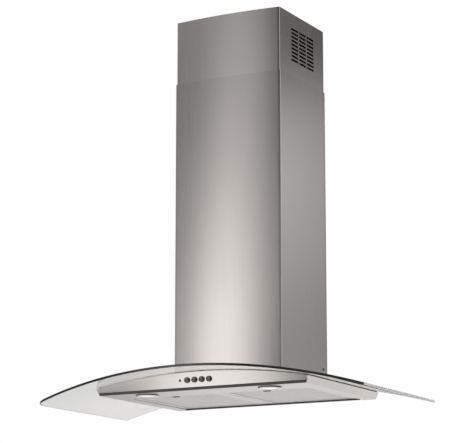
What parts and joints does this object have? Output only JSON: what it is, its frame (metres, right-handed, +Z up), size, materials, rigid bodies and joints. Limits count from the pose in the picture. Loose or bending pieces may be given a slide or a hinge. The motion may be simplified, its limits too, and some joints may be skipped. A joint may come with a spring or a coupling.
{
  "type": "wall mount range hood",
  "caption": "Wall-hung kitchen extractor hood: arched glass canopy over a shallow steel body with grease filters, lamps and push buttons, under a telescopic chimney.",
  "frame": {"origin": "middle of the four wall screws, on the wall plane", "axes": "+X to the viewer's right, +Y into the wall, +Z up"},
  "size_m": [0.898, 0.491, 1.0047],
  "materials": {
    "steel": "vertical brushed stainless steel, satin",
    "dark_strip": "dark satin plastic",
    "glass": "clear tempered glass, ground and polished edge",
    "rubber": "matt black rubber",
    "polished_steel": "polished steel",
    "zinc": "galvanised sheet steel",
    "felt": "black felt",
    "black_plastic": "moulded black plastic",
    "motor_can": "cast aluminium end shields and can",
    "white_plastic": "moulded white plastic",
    "cable_sleeve": "black cable sleeve",
    "lamp_chrome": "satin chrome ring",
    "frosted_glass": "frosted glass",
    "bulb_glass": "clear quartz capsule on a ceramic base",
    "board": "coated circuit board",
    "pilot": "dark red translucent plastic",
    "button": "black plastic button",
    "filter_aluminium": "rolled aluminium frame",
    "filter_mesh": "expanded aluminium mesh",
    "latch": "dark plastic latch"
  },
  "bodies": {
    "hood": {"front_fascia": "steel", "fascia_strip": "dark_strip", "body_shell": "steel", "underside_panel": "steel", "rear_strip": "dark_strip", "filter_rail": "steel", "glass_canopy": "glass", "glass_seal": "rubber", "glass_bushes": "rubber", "glass_screws": "polished_steel", "front_glass_pad": "rubber", "lower_chimney": "steel", "chimney_screws": "polished_steel", "chimney_pads": "felt", "chimney_tabs": "zinc", "blower_box": "zinc", "blower_box_cover": "zinc", "cover_screws": "zinc", "scroll_left": "black_plastic", "scroll_right": "black_plastic", "motor": "motor_can", "motor_bracket": "zinc", "motor_mounts": "rubber", "motor_screws": "zinc", "capacitor": "white_plastic", "outlet_collar": "black_plastic", "flap_rod": "zinc", "terminal_box": "black_plastic", "terminal_block": "white_plastic", "terminal_cover": "black_plastic", "cable_gland": "black_plastic", "wiring_loom": "cable_sleeve", "lamp_transformer": "black_plastic", "lamp_bezel_left": "lamp_chrome", "lamp_bezel_right": "lamp_chrome", "lamp_lens_left": "frosted_glass", "lamp_lens_right": "frosted_glass", "lamp_holders": "zinc", "lamp_bulbs": "bulb_glass", "switch_housing": "black_plastic", "switch_board": "board", "pilot_lens": "pilot"},
    "upper_chimney": {"upper_chimney": "steel", "chimney_bracket": "zinc"},
    "rotor": {"impeller": "black_plastic", "motor_shaft": "polished_steel"},
    "flap_left": {"flap_left": "black_plastic"},
    "flap_right": {"flap_right": "black_plastic"},
    "filter_left": {"filter_frame_left": "filter_aluminium", "filter_mesh_left": "filter_mesh", "latch_spring_left": "polished_steel"},
    "filter_right": {"filter_frame_right": "filter_aluminium", "filter_mesh_right": "filter_mesh", "latch_spring_right": "polished_steel"},
    "latch_left": {"filter_latch_left": "latch"},
    "latch_right": {"filter_latch_right": "latch"},
    "button_1": {"button_1": "button"},
    "button_2": {"button_2": "button"},
    "button_3": {"button_3": "button"},
    "button_4": {"button_4": "button"}
  },
  "joints": [
    {"name": "upper_chimney_slide", "type": "slide", "parent": "hood", "child": "upper_chimney", "axis": [0, 0, 1], "range_m": [-0.148, 0.24]},
    {"name": "fan_spin", "type": "hinge", "parent": "hood", "child": "rotor", "pos_m": [0, -0.113, -0.0072], "axis": [1, 0, 0], "continuous": true},
    {"name": "flap_left_swing", "type": "hinge", "parent": "hood", "child": "flap_left", "pos_m": [0, -0.156, 0.161], "axis": [0, 1, 0], "range_deg": [0, 80]},
    {"name": "flap_right_swing", "type": "hinge", "parent": "hood", "child": "flap_right", "pos_m": [0, -0.156, 0.161], "axis": [0, -1, 0], "range_deg": [0, 80]},
    {"name": "filter_left_drop", "type": "hinge", "parent": "hood", "child": "filter_left", "pos_m": [-0.1285, -0.0239, -0.197], "axis": [1, 0, 0], "range_deg": [0, 60]},
    {"name": "latch_left_pull", "type": "slide", "parent": "filter_left", "child": "latch_left", "axis": [0, 1, 0], "range_m": [0, 0.006], "stiffness_N_per_m": 300, "springref_m": -0.004, "deforming": ["latch_spring_left"]},
    {"name": "filter_right_drop", "type": "hinge", "parent": "hood", "child": "filter_right", "pos_m": [0.1285, -0.0239, -0.197], "axis": [1, 0, 0], "range_deg": [0, 60]},
    {"name": "latch_right_pull", "type": "slide", "parent": "filter_right", "child": "latch_right", "axis": [0, 1, 0], "range_m": [0, 0.006], "stiffness_N_per_m": 300, "springref_m": -0.004, "deforming": ["latch_spring_right"]},
    {"name": "button_1_push", "type": "slide", "parent": "hood", "child": "button_1", "axis": [0, 0.9959, 0.0906], "range_m": [0, 0.003], "stiffness_N_per_m": 400, "springref_m": -0.002},
    {"name": "button_2_push", "type": "slide", "parent": "hood", "child": "button_2", "axis": [0, 0.9959, 0.0906], "range_m": [0, 0.003], "stiffness_N_per_m": 400, "springref_m": -0.002},
    {"name": "button_3_push", "type": "slide", "parent": "hood", "child": "button_3", "axis": [0, 0.9959, 0.0906], "range_m": [0, 0.003], "stiffness_N_per_m": 400, "springref_m": -0.002},
    {"name": "button_4_push", "type": "slide", "parent": "hood", "child": "button_4", "axis": [0, 0.9959, 0.0906], "range_m": [0, 0.003], "stiffness_N_per_m": 400, "springref_m": -0.002}
  ]
}
